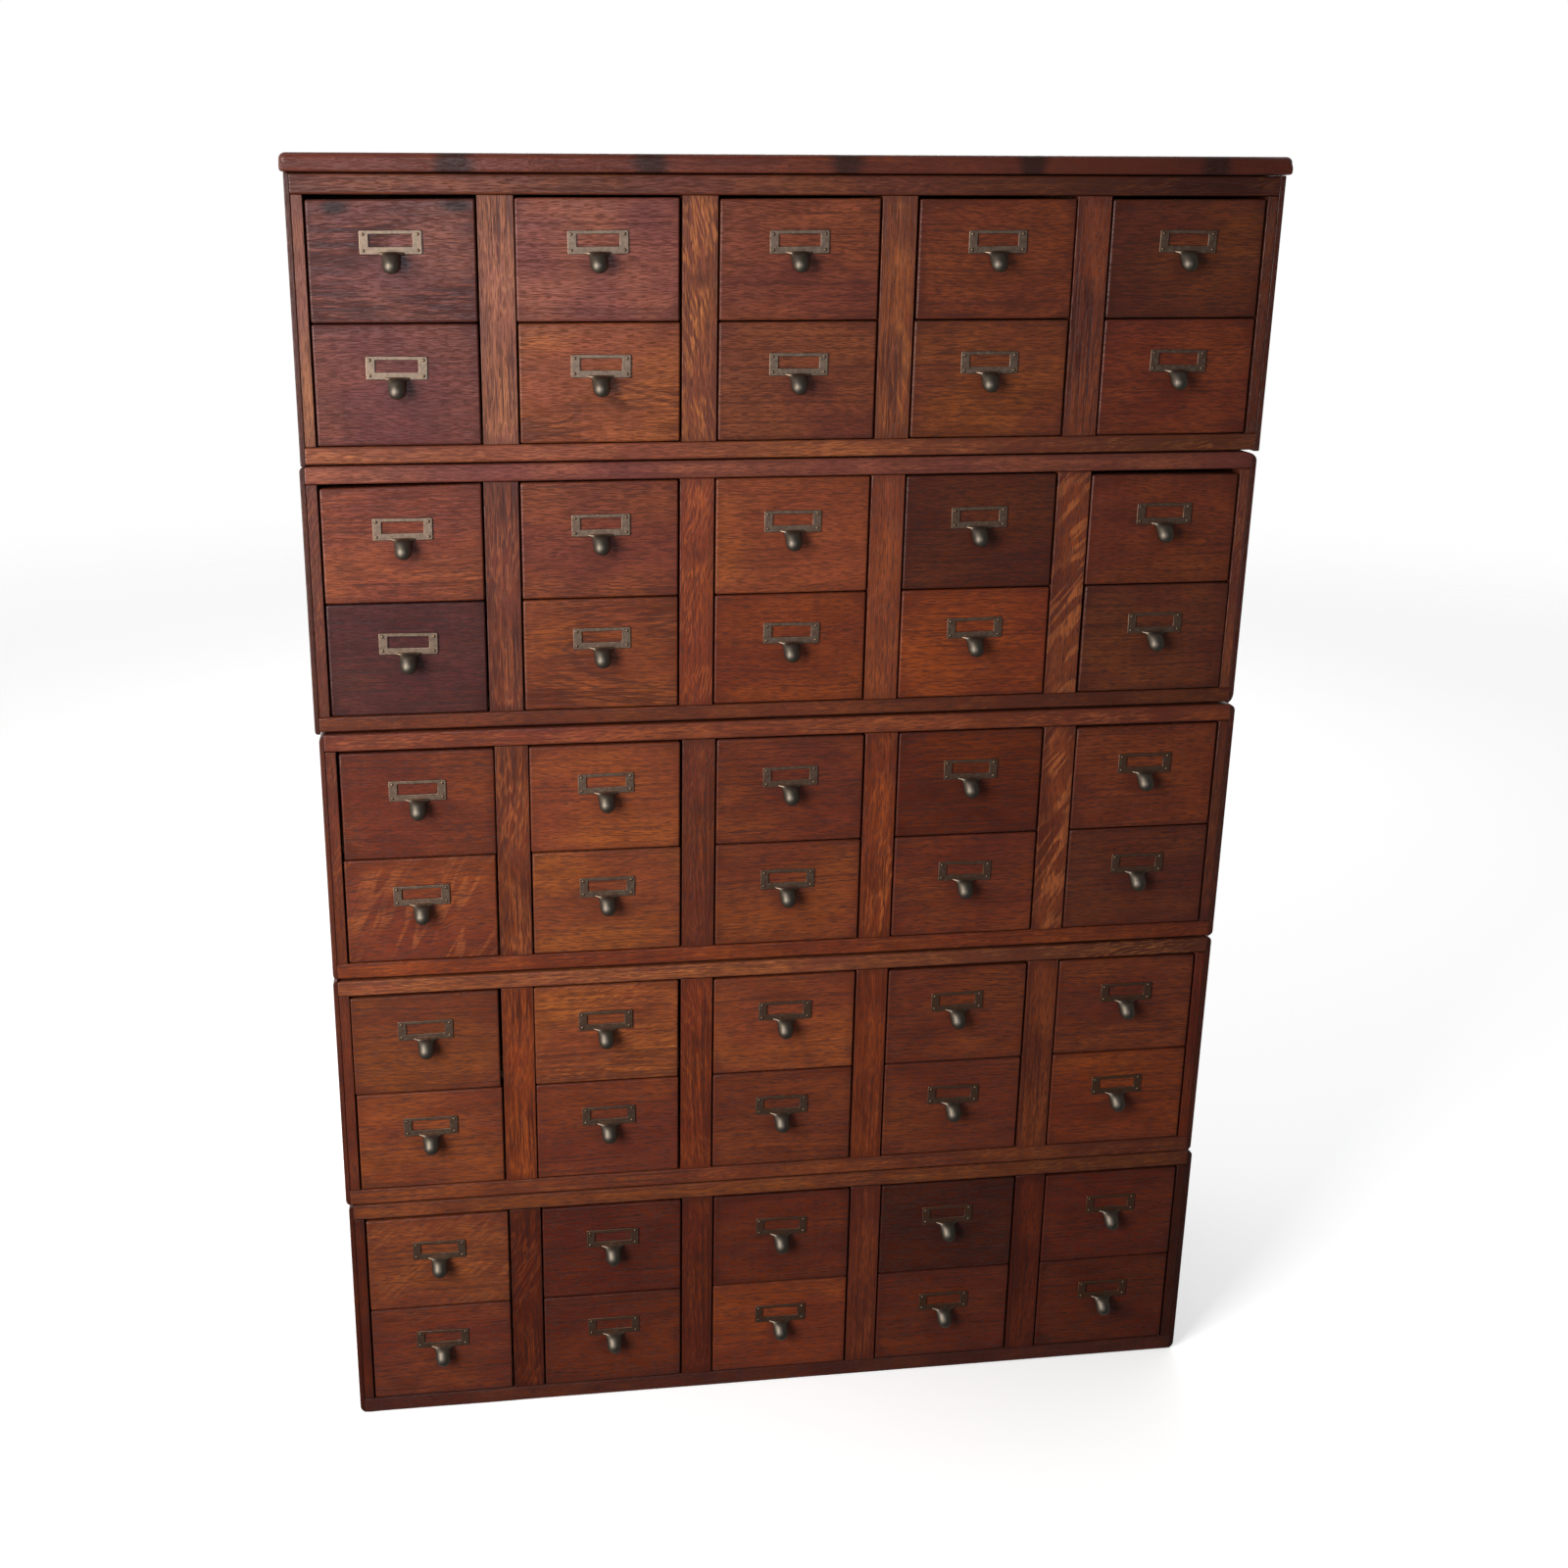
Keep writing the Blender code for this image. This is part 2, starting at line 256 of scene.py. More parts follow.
# -------------------------------- materials
class Board:
    """What the mesh says about the board that a point belongs to."""

    def __init__(self, nodes):
        self.nodes = nodes
        local = nodes.attribute("local")
        self.along, self.across, self.depth = nodes.parts(local)
        self.half_along, self.half_across, self.fade = nodes.parts(nodes.attribute("half"))
        self.place = nodes.vector("ADD", local, nodes.attribute("seed"))
        self.place_along, self.place_across, self.place_depth = nodes.parts(self.place)
        self.wave, self.fleck, self.fleck_slope = nodes.parts(nodes.attribute("figure"))
        self.dirt, self.fleck_width, self.rings = nodes.parts(nodes.attribute("wear"))
        self.pith_across, self.pith_depth, self.pith_rise = nodes.parts(nodes.attribute("pith"))
        self.first_knot, self.knot_spacing, self.knot_across = nodes.parts(nodes.attribute("knots"))
        self.tone = nodes.attribute("tone")

    def toned(self, *factors):
        """The board's tone, changed by a factor for each colour."""
        return self.nodes.vector("MULTIPLY", self.tone, factors)


def wander(nodes, board):
    """How far the grain strays sideways, in long and fine waves, and the fine waves by themselves."""
    coarse = nodes.minus(nodes.noise(board.place, 6.5, 13), 0.5)
    fine = nodes.minus(nodes.noise(board.place, 24, 42), 0.5)
    bend = nodes.times(nodes.plus(nodes.times(coarse, 0.022), nodes.times(fine, 0.0038)), board.wave)
    return bend, fine


def growth_rings(nodes, board, bend):
    """Cylinders round the pith, cut by the board's face, and where on the face they show."""
    from_pith = nodes.minus(nodes.plus(board.across, bend), board.pith_across)
    tilt = nodes.times(board.along, board.pith_rise)
    below = nodes.minus(nodes.plus(board.depth, tilt, bend), board.pith_depth)
    ring = nodes.math("DIVIDE", nodes.distance(from_pith, below), RING_WIDTH)
    veined = nodes.step(nodes.noise(board.place, 9, 22), 0.34, 0.58)
    rings = nodes.times(nodes.step(nodes.line_noise(ring, 2.0), 0.48, 0.64), veined)
    return rings, veined


def grain_lines(nodes, board, bent, rings, veined):
    """Broken dark lines in the rings, and thin seams between them."""
    dashes = nodes.step(nodes.noise(bent, 16, 800), 0.40, 0.56)
    broken = nodes.times(rings, dashes, board.rings)
    breaks = nodes.step(nodes.noise(bent, 20, 260), 0.36, 0.50)
    seams = nodes.times(nodes.ridges(bent, 8, 170, 0.12, 0.04), breaks, veined, board.rings, board.rings)
    return nodes.math("MAXIMUM", broken, seams)


def ray_flecks(nodes, board, bent_across):
    """Pale flecks that run at a slant over the grain, in patches."""
    fleck_along = nodes.plus(board.place_along, nodes.times(bent_across, board.fleck_slope))
    fleck_across = nodes.minus(bent_across, nodes.times(board.place_along, board.fleck_slope))
    fleck_at = nodes.join(
        nodes.math("DIVIDE", fleck_along, nodes.times(board.fleck_width, 7.0)),
        nodes.math("DIVIDE", fleck_across, board.fleck_width),
        nodes.times(board.place_depth, 60.0),
    )
    patch = nodes.step(nodes.noise(board.place, 22, 30), 0.36, 0.60)
    return nodes.times(nodes.ridges(fleck_at, 1, 1, 0.085, 0.025), patch, board.fleck)


def bare_wood(nodes, board, patchy):
    """The board's tone, drifting in hue and shade, and darker or brighter towards its far end; the
    darkening is partly stain, partly painted shade.
    """
    worn = nodes.step(nodes.noise(board.place, 8, 15, 2.0), 0.34, 0.66)
    duller = board.toned(1 - 0.16 * patchy, 1 - 0.22 * patchy, 0.98)
    brighter = board.toned(1 + 0.17 * patchy, 1 + 0.27 * patchy, 0.98)
    # Towards the far end: darker below zero, partly stain and partly painted shade for light that falls
    # off.
    toward_far_end = nodes.step(nodes.math("DIVIDE", board.along, board.half_along), -0.1, 0.93)
    colour = nodes.mix(worn, duller, brighter)
    colour = nodes.scale(colour, nodes.plus(1.0, nodes.times(board.fade, toward_far_end)))
    shade = nodes.step(nodes.noise(board.place, 20, 48, 3.0, 0.65), 0.32, 0.68)
    shading = nodes.mix(shade, (0.86, 0.84, 0.84, 1.0), (1.14, 1.16, 1.16, 1.0))
    return nodes.vector("MULTIPLY", colour, shading)


def aged(nodes, board, colour, cloud, fine, handled):
    """The colour under old stains, dirt towards the edges and corners, dark knots, and painted shade: a
    dark line along every edge for the gaps between boards.
    """
    ragged = nodes.times(nodes.minus(cloud, 0.5), 0.036)
    to_end = nodes.minus(board.half_along, nodes.math("ABSOLUTE", board.along))
    to_side = nodes.minus(board.half_across, nodes.math("ABSOLUTE", board.across))
    to_edge = nodes.math("MINIMUM", to_end, to_side)
    to_corner = nodes.plus(to_end, to_side, nodes.times(ragged, 1.6))
    stains = nodes.times(nodes.step(cloud, 0.55, 0.78), board.dirt)
    rim = nodes.times(nodes.step(nodes.plus(to_edge, ragged), 0.010, 0.0), board.dirt)
    corner = nodes.times(nodes.step(to_corner, 0.030, 0.004), board.dirt)
    # Painted shade: a thin dark line along every edge, standing in for the shadow in the gaps between
    # boards.
    edge_gap_shade = nodes.step(nodes.plus(to_edge, nodes.times(fine, 0.003)), 0.0022, 0.0004)
    past_knot = nodes.minus(board.along, board.first_knot)
    knot_along = nodes.math("PINGPONG", past_knot, nodes.times(board.knot_spacing, 0.5))
    knot_across = nodes.times(nodes.minus(board.across, board.knot_across), 2.2)
    to_knot = nodes.plus(nodes.distance(knot_along, knot_across), nodes.times(ragged, 0.7))
    knot = nodes.step(to_knot, 0.022, 0.006)

    colour = nodes.mix(nodes.times(stains, 0.80), colour, board.toned(0.30, 0.27, 0.34))
    if handled:
        below_pull = nodes.distance(board.along, nodes.plus(board.across, 0.006))
        smudge = nodes.step(nodes.plus(below_pull, nodes.times(ragged, 0.6)), 0.026, 0.006)
        colour = nodes.mix(nodes.times(smudge, 0.55), colour, board.toned(0.45, 0.38, 0.50))
    colour = nodes.mix(nodes.times(rim, 0.60), colour, board.toned(0.38, 0.34, 0.40))
    colour = nodes.mix(nodes.times(corner, 0.75), colour, board.toned(0.36, 0.32, 0.42))
    # The painted shade along the edges.
    colour = nodes.mix(nodes.times(edge_gap_shade, 0.25), colour, board.toned(0.22, 0.18, 0.22))
    return nodes.mix(nodes.times(knot, 0.85), colour, board.toned(0.08, 0.11, 0.18))


def oak(name, roughness, pore_depth, specular, patchy=1.0, handled=False):
    """Oak that reads each board's own place, cut and tone from its mesh.

    patchy says how much the hue drifts over a board; a handled board is soiled below its pull.
    """
    nodes = Nodes(name)
    board = Board(nodes)
    bend, fine = wander(nodes, board)
    bent_across = nodes.plus(board.place_across, bend)
    bent = nodes.join(board.place_along, bent_across, board.place_depth)
    rings, veined = growth_rings(nodes, board, bend)
    lines = grain_lines(nodes, board, bent, rings, veined)
    fibres = nodes.step(nodes.noise(bent, 15, 1300), 0.42, 0.68)
    fibres = nodes.times(fibres, nodes.plus(nodes.times(board.rings, 0.42), 0.30))
    pores = nodes.step(nodes.plus(nodes.noise(bent, 95, 1900, 0.0), nodes.times(rings, 0.12)), 0.56, 0.66)
    flecks = ray_flecks(nodes, board, bent_across)
    cloud = nodes.noise(board.place, 13, 24, 3.0, 0.6)

    colour = bare_wood(nodes, board, patchy)
    colour = nodes.mix(fibres, colour, board.toned(0.50, 0.42, 0.48))
    colour = nodes.mix(flecks, colour, board.toned(1.95, 2.60, 2.10))
    colour = nodes.mix(nodes.times(lines, 0.90), colour, board.toned(0.26, 0.21, 0.27))
    colour = nodes.mix(nodes.times(pores, 0.75), colour, board.toned(0.24, 0.20, 0.26))
    colour = aged(nodes, board, colour, cloud, fine, handled)
    nodes.feed(nodes.shader.inputs["Base Color"], colour)
    gloss = nodes.plus(nodes.times(pores, 0.22), nodes.times(cloud, 0.14), roughness - 0.07)
    nodes.feed(nodes.shader.inputs["Roughness"], gloss)
    nodes.shader.inputs["Specular IOR Level"].default_value = specular
    dents = nodes.plus(nodes.times(pores, -pore_depth), nodes.times(lines, -0.7 * pore_depth))
    nodes.bump(nodes.plus(dents, nodes.times(cloud, 0.0009)), 0.8)
    return nodes.material


def brass(name, clean, patina, soil, roughness):
    """Old brass; the mesh says where grime, and on the finger pull partly painted shade, has darkened it
    and where brown soil covers it.
    """
    nodes = Nodes(name)
    place = nodes.add("ShaderNodeTexCoord", {}).outputs["Object"]
    mottle = nodes.noise(place, 240, 240, 3.0, 0.6)
    specks = nodes.step(nodes.noise(place, 1300, 1300, 2.0), 0.58, 0.74)
    ragged = nodes.times(nodes.minus(mottle, 0.5), 1.3)
    # Darkening read from the mesh: grime, and on the finger pull partly painted shade.
    dull = nodes.step(nodes.plus(nodes.attribute("grime_and_shade", "Fac"), ragged), 0.0, 1.0)
    soiled = nodes.times(nodes.attribute("soil", "Fac"), nodes.step(mottle, 0.25, 0.60))
    colour = nodes.mix(dull, (*clean, 1.0), (*patina, 1.0))
    colour = nodes.mix(soiled, colour, (*soil, 1.0))
    colour = nodes.mix(nodes.times(specks, 0.35), colour, (*[value * 0.4 for value in patina], 1.0))
    nodes.feed(nodes.shader.inputs["Base Color"], colour)
    nodes.shader.inputs["Metallic"].default_value = 1.0
    nodes.shader.inputs["Roughness"].default_value = roughness
    nodes.bump(nodes.plus(nodes.times(mottle, 0.00016), nodes.times(specks, -0.00005)), 0.7)
    return nodes.material


# Linear colours of the metal: clean, under grime and under brown soil.
CLEAN_BRASS = (0.310, 0.218, 0.156)
BRASS_PATINA = (0.128, 0.106, 0.084)
BRASS_SOIL = (0.24, 0.095, 0.047)
CLEAN_PIN = (0.22, 0.145, 0.092)
PIN_PATINA = (0.10, 0.070, 0.045)
PIN_SOIL = (0.12, 0.055, 0.030)
MATERIALS = {
    "oak_case": oak("oak_case", 0.39, 0.00020, 0.35),
    "oak_drawer": oak("oak_drawer", 0.36, 0.00022, 0.35, handled=True),
    "oak_inside": oak("oak_inside", 0.62, 0.00015, 0.25, patchy=0.35),
    "brass": brass("brass", CLEAN_BRASS, BRASS_PATINA, BRASS_SOIL, 0.50),
    "steel": brass("pin_metal", CLEAN_PIN, PIN_PATINA, PIN_SOIL, 0.48),
}


# -------------------------------- wood
@dataclass
class Wood:
    """How a board was sawn and how it has aged."""

    tone: tuple                     # linear colour of the finished wood
    wave: float = 0.5               # how much the grain wanders
    fleck: float = 0.0              # strength of the ray flecks
    fleck_slope: float = 0.3        # how much they slant across the grain
    fleck_width: float = 0.0040     # and roughly how far apart they are
    dirt: float = 0.5               # old stains, and dirt towards the edges
    rings: float = 0.4              # how dark the broken lines of the growth rings are
    fade: float = 0.0               # brighter from the middle to the far end, or darker below zero: partly stain, partly painted shade
    # Place of one knot along the board, spacing of the knots, place across; off the board means none.
    knots: tuple = (4.5, 9.0, 0.0)
    # The tree's pith from the board's middle: across, behind the face, rise along the board.
    pith: tuple = (0.35, 0.10, 0.0)


TONES = {
    "honey": (0.270, 0.0700, 0.0260),
    "golden": (0.270, 0.0630, 0.0170),
    "cherry": (0.240, 0.0510, 0.0200),
    "rose": (0.230, 0.0600, 0.0340),
    "amber": (0.225, 0.0500, 0.0145),
    "ember": (0.215, 0.0385, 0.0095),
    "rust": (0.195, 0.0435, 0.0130),
    "brown": (0.175, 0.0375, 0.0150),
    "case": (0.165, 0.0370, 0.0155),
    "russet": (0.163, 0.0322, 0.0112),
    "plum": (0.150, 0.0345, 0.0215),
    "ruby": (0.130, 0.0205, 0.0060),
    "walnut": (0.115, 0.0250, 0.0100),
    "maroon": (0.100, 0.0150, 0.0046),
    "dark": (0.098, 0.0195, 0.0075),
    "umber": (0.086, 0.0190, 0.0150),
    "deep": (0.064, 0.0105, 0.0034),
    "stile": (0.270, 0.0830, 0.0380),
    "inside": (0.330, 0.175, 0.085),
}


def sawn(chance, tone, **settings):
    """Wood of a named tone, with its cut and shade varied a little from board to board."""
    lightness = chance.uniform(0.92, 1.08)
    warmth = chance.uniform(0.95, 1.05)
    red, green, blue = TONES[tone]
    settings.setdefault("pith", (chance.uniform(0.10, 0.45) * chance.choice((-1, 1)), 0.10, 0.0))
    settings.setdefault("wave", chance.uniform(0.25, 0.7))
    settings.setdefault("dirt", chance.uniform(0.35, 0.75))
    return Wood((red * lightness, green * lightness * warmth, blue * lightness), **settings)


# -------------------------------- boards
def stops(half, radius, steps, spacing, band):
    """Grid positions across a board: close in the eased edges, a cell apart in a band next to them."""
    inner = half - radius
    banded = min(round(band / BAND_CELL), int(inner / BAND_CELL) - 1) if band else 0
    start = inner - BAND_CELL * max(0, banded)
    count = max(1, round(2 * start / spacing))
    middle = [-start + 2 * start * index / count for index in range(count + 1)]
    edge = [start + BAND_CELL * (index + 1) for index in range(max(0, banded))]
    edge += [inner + radius * step / steps for step in range(1, steps + 1)]
    return [-value for value in reversed(edge)] + middle + edge


def eased(point, half, radius):
    """Round off a point on the surface of a box."""
    inner = Vector([max(radius - h, min(h - radius, value)) for value, h in zip(point, half)])
    out = point - inner
    return inner + out.normalized() * radius


class Boards:
    """Collects boards into one mesh whose points carry their place in their own board."""

    LAYERS = ("local", "half", "seed", "figure", "wear", "pith", "tone", "knots")

    def __init__(self):
        self.bm = bmesh.new()
        self.layers = {name: self.bm.verts.layers.float_vector.new(name) for name in self.LAYERS}

    def add(self, low, high, axes, wood, seed, radius=0.0008, steps=1, spacing=0.05, band=0.0, shape=None):
        """One board between two corners; axes names the directions along, across and through it.

        The radius of its edges is made in so many steps, and shape moves the points last. The mesh has
        cells of about the spacing, and finer ones in a band beside the edges.
        """
        low, high = Vector(low), Vector(high)
        centre = (low + high) / 2
        half = (high - low) / 2
        order = ["xyz".index(axis) for axis in axes]
        chance = random.Random(seed)
        offset = Vector([chance.uniform(-3, 3) for _ in range(3)])
        fixed = {
            "half": Vector((half[order[0]], half[order[1]], wood.fade)),
            "seed": offset,
            "figure": Vector((wood.wave, wood.fleck, wood.fleck_slope)),
            "wear": Vector((wood.dirt, wood.fleck_width, wood.rings)),
            "pith": Vector(wood.pith),
            "tone": Vector(wood.tone),
            "knots": Vector(wood.knots),
        }
        radius = min(radius, 0.45 * min(half))
        grid = [stops(value, radius, steps, spacing, band) for value in half]
        last = [len(line) - 1 for line in grid]
        found = {}

        def vert(*index):
            if index not in found:
                flat = Vector([grid[axis][index[axis]] for axis in range(3)])
                uneven = 1 + EDGE_WEAR * noise.noise((flat + offset) * EDGE_WEAR_PER_METRE)
                place = eased(flat, half, radius * uneven) + centre
                point = self.bm.verts.new(shape(place) if shape else place)
                point[self.layers["local"]] = Vector([flat[axis] for axis in order])
                for name, value in fixed.items():
                    point[self.layers[name]] = value
                found[index] = point
            return found[index]

        for axis in range(3):
            one, two = (axis + 1) % 3, (axis + 2) % 3
            for end in (0, last[axis]):
                for i in range(last[one]):
                    for j in range(last[two]):
                        corners = []
                        for di, dj in ((0, 0), (1, 0), (1, 1), (0, 1)):
                            index = [0, 0, 0]
                            index[axis], index[one], index[two] = end, i + di, j + dj
                            corners.append(vert(*index))
                        if end == 0:
                            corners.reverse()
                        face = self.bm.faces.new(corners)
                        near_start = i < steps or j < steps
                        near_finish = i >= last[one] - steps or j >= last[two] - steps
                        face.smooth = near_start or near_finish

    def piece(self, name, material):
        """The boards so far as one object."""
        return finish_piece(self.bm, name, material)


def finish_piece(bm, name, material):
    """Turn a bmesh into a linked object with a material."""
    mesh = bpy.data.meshes.new(name)
    bm.to_mesh(mesh)
    bm.free()
    mesh.materials.append(MATERIALS[material])
    thing = bpy.data.objects.new(name, mesh)
    bpy.context.scene.collection.objects.link(thing)
    return thing


def mount_piece(thing, body, node, slot):
    """Parent a piece to the body that it moves with, and hide the CAD node that it stands for."""
    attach(thing, body)
    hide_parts(node)


# -------------------------------- case
# Outer corners of each section: top left, top right, bottom left, bottom right. Each has its radius across
# and its radius up, in mm.
CORNERS = {
    1: ((1.3, 1.3), (1.3, 1.3), (1.2, 1.2), (1.2, 1.2)),
    2: ((5.5, 5.5), (15, 10), (4, 4), (9, 13)),
    3: ((8, 8), (8, 8), (7, 7), (7, 7)),
    4: ((6, 6), (7, 7), (6.5, 6.5), (7, 7)),
    5: ((7, 7), (7, 7), (10, 10), (10, 10)),
}

# Top rail and bottom rail of each section: tone, and its change towards the right end, darker below zero:
# partly stain, partly painted shade where the window's light falls off.
RAILS = {
    1: (("case", -0.83), ("honey", -0.80)),
    2: (("rose", -0.35), ("rust", -0.50)),
    3: (("cherry", -0.35), ("ember", -0.30)),
    4: (("honey", -0.80), ("rust", -0.40)),
    5: (("rust", -0.42), ("dark", -0.25)),
}

# Tones at the ends of each section: left and right side panel, left and right end stile.
ENDS = {
    1: ("walnut", "walnut", "stile", "walnut"),
    2: ("walnut", "dark", "case", "case"),
    3: ("russet", "dark", "russet", "walnut"),
    4: ("russet", "dark", "russet", "ruby"),
    5: ("maroon", "deep", "maroon", "deep"),
}

# How much further down than TOP_RAIL each top rail reaches, in mm.
RAIL_DROP = {1: 2.0, 2: 0.0, 3: 0.8, 4: 1.6, 5: 1.4}

# Dark gaps where the sections meet: above each top rail and below each bottom rail, in mm.
RAIL_GAPS = {1: (0.7, 1.3), 2: (0.0, 2.6), 3: (0.0, 0.8), 4: (2.0, 0.2), 5: (0.8, 0.0)}

# Wide stiles of each section, from left to right.
STILES = {
    1: (
        dict(tone="stile", wave=0.25, rings=1.0, fleck=0.35, fleck_slope=-0.04, fleck_width=0.0030),
        dict(tone="amber", wave=0.3, rings=0.6, fleck=0.9, fleck_slope=-0.22, fleck_width=0.0052),
        dict(tone="golden", wave=0.3, rings=1.0, fleck=0.4, fleck_slope=-0.5, fleck_width=0.022, dirt=0.9),
        dict(tone="russet", wave=0.3, rings=1.0, fleck=0.2, fleck_slope=0.1, fleck_width=0.0030),
    ),
    2: (
        dict(tone="case", wave=0.3, rings=1.0, fleck=0.6, fleck_slope=0.03, fleck_width=0.0050, dirt=1.0),
        dict(tone="ember", wave=0.4, fleck=0.5, fleck_slope=0.30, fleck_width=0.0050),
        dict(tone="amber", wave=0.3, rings=0.3, fleck=0.1, fleck_slope=0.2),
        dict(tone="russet", wave=0.8, fleck=1.8, fleck_slope=0.75, fleck_width=0.0130),
    ),
    3: (
        dict(tone="russet", wave=0.9, rings=0.9, fleck=0.7, fleck_slope=0.08, fleck_width=0.0050),
        dict(tone="russet", wave=0.3, rings=0.7, fleck=0.2, fleck_slope=0.2),
        dict(tone="ember", wave=1.0, rings=0.8, fleck=0.8, fleck_slope=0.10, fleck_width=0.0050),
        dict(tone="russet", wave=0.9, fleck=1.7, fleck_slope=0.6, fleck_width=0.0120),
    ),
    4: (
        dict(tone="ember", wave=0.3, rings=1.0, fleck=0.3, fleck_slope=0.1),
        dict(tone="ember", wave=0.3, rings=0.8, fleck=0.3, fleck_slope=-0.3, fleck_width=0.0060),
        dict(tone="ember", wave=0.4, rings=0.8, fleck=0.2, fleck_slope=0.1),
        dict(tone="russet", wave=0.3, rings=0.8, fleck=0.2, fleck_slope=0.2),
    ),
    5: (
        dict(tone="maroon", wave=0.8, rings=0.7, fleck=0.6, fleck_slope=0.5, fleck_width=0.0070),
        dict(tone="ruby", wave=0.3, rings=0.7, fleck=0.2, fleck_slope=0.1),
        dict(tone="russet", wave=0.3, rings=0.7, fleck=0.2, fleck_slope=0.05),
        dict(tone="maroon", wave=0.4, rings=0.7, fleck=0.2, fleck_slope=0.3),
    ),
}


def corner_rounding(section, middle, floor):
    """Function that rounds the outer corners of a section, seen from the front."""

    def rounded(point):
        x = point.x - middle
        z = point.z - floor
        on_right = x > 0
        at_bottom = z < CASE_HEIGHT / 2
        across, up = (value * MM for value in CORNERS[section][2 * at_bottom + on_right])
        height = z if at_bottom else CASE_HEIGHT - z
        u = 1 - (CASE_HALF - abs(x)) / across
        v = 1 - height / up
        if u <= 0 or v <= 0 or math.hypot(u, v) <= 1:
            return point
        shrink = 1 / math.hypot(u, v)
        x = math.copysign(CASE_HALF - across * (1 - u * shrink), x)
        height = up * (1 - v * shrink)
        z = height if at_bottom else CASE_HEIGHT - height
        return Vector((middle + x, point.y, floor + z))

    return rounded


def build_case(section):
    """Every board of one section, as separate pieces."""
    node = f"case_s{section}"
    low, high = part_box(node)
    middle = (low.x + high.x) / 2
    floor = low.z
    chance = random.Random(100 + section)
    rounded = corner_rounding(section, middle, floor)
    inner = CASE_HALF - SIDE_THICKNESS - JOINT
    opening_top = CASE_HEIGHT - TOP_RAIL - RAIL_DROP[section] * MM
    rail_back = FRONT_Y + RAIL_DEPTH
    back_face = FRONT_Y + CASE_DEPTH - BACK_THICKNESS

    def board_piece(name, slot, boards, log=section, **settings):
        """One object of boards, each given as spans, axes and wood; log varies where its grain starts."""
        collected = Boards()
        for number, (x, y, z, axes, wood) in enumerate(boards):
            corners = zip((middle + x[0], y[0], floor + z[0]), (middle + x[1], y[1], floor + z[1]))
            lows, highs = zip(*[sorted(pair) for pair in corners])
            collected.add(lows, highs, axes, wood, f"{name}{number}{log}", **settings)
        thing = collected.piece(f"{name}_s{section}", slot)
        mount_piece(thing, "carcass", node, slot)

    rail_y = (FRONT_Y, rail_back)
    inside_y = (rail_back + JOINT, back_face - JOINT)
    outer = dict(steps=2, band=CORNER_BAND, shape=rounded)
    gap_above, gap_below = (value * MM for value in RAIL_GAPS[section])
    rail_spans = (
        ("top_rail", (opening_top, CASE_HEIGHT - gap_above)),
        ("bottom_rail", (gap_below, BOTTOM_RAIL)),
    )
    for (name, z), (tone, fade) in zip(rail_spans, RAILS[section]):
        wood = sawn(chance, tone, fleck=chance.uniform(0.0, 0.3), fleck_slope=0.2, rings=0.6, fade=fade)
        reach = inner + RAIL_TENON
        boards = [((-reach, reach), rail_y, z, "xzy", wood)]
        board_piece(name, "oak_case", boards, radius=RAIL_EASE, spacing=0.06, **outer)

    stile_z = (BOTTOM_RAIL + JOINT, opening_top - JOINT)
    stile_half = (COLUMN_PITCH - OPENING_WIDTH) / 2
    for number, (x, figure) in enumerate(zip(DIVIDER_CENTRES, STILES[section]), start=1):
        wood = sawn(chance, **figure)
        boards = [((x - stile_half, x + stile_half), rail_y, stile_z, "zxy", wood)]
        board_piece(f"stile_{number}", "oak_case", boards, log="", radius=STILE_EASE)

    opening_edge = COLUMN_CENTRES[-1] + OPENING_WIDTH / 2
    panel_tones = ENDS[section][:2]
    end_tones = ENDS[section][2:]
    for name, sign, tone in zip(("end_stile_left", "end_stile_right"), (-1, 1), end_tones):
        wood = sawn(chance, tone, fleck=0.4 if section in (2, 3) else 0.1, fleck_slope=0.5)
        boards = [((sign * opening_edge, sign * inner), rail_y, stile_z, "zxy", wood)]
        board_piece(name, "oak_case", boards, radius=STILE_EASE)

    for name, sign, tone in zip(("side_panel_left", "side_panel_right"), (-1, 1), panel_tones):
        wood = sawn(chance, tone, fleck=chance.uniform(0.1, 0.5), fleck_slope=0.25, dirt=0.95)
        span = (sign * (CASE_HALF - SIDE_THICKNESS), sign * CASE_HALF)
        boards = [(span, (FRONT_Y, FRONT_Y + CASE_DEPTH), (0, CASE_HEIGHT), "zyx", wood)]
        radius = LEFT_PANEL_EASE if sign < 0 else RIGHT_PANEL_EASE
        board_piece(name, "oak_case", boards, radius=radius, spacing=0.08, **outer)

    wood = sawn(chance, "case", pith=(0.02, 0.09, 0.06), dirt=0.9)
    boards = [((-inner, inner), (back_face + JOINT, FRONT_Y + CASE_DEPTH), (0, CASE_HEIGHT), "xzy", wood)]
    board_piece("back_panel", "oak_case", boards, radius=BACK_EASE)
    boards = [((-inner, inner), inside_y, (0, FLOOR_THICKNESS), "xyz", sawn(chance, "inside"))]
    board_piece("floor_panel", "oak_inside", boards)

    half = PARTITION_THICKNESS / 2
    partition_z = (FLOOR_THICKNESS + JOINT, CASE_HEIGHT - PARTITION_TOP)
    boards = []
    for x in DIVIDER_CENTRES:
        boards.append(((x - half, x + half), inside_y, partition_z, "yzx", sawn(chance, "inside")))
    board_piece("partitions", "oak_inside", boards)
    board_piece("runners", "oak_inside", list(runner_boards(chance, section, inner, inside_y, floor)))


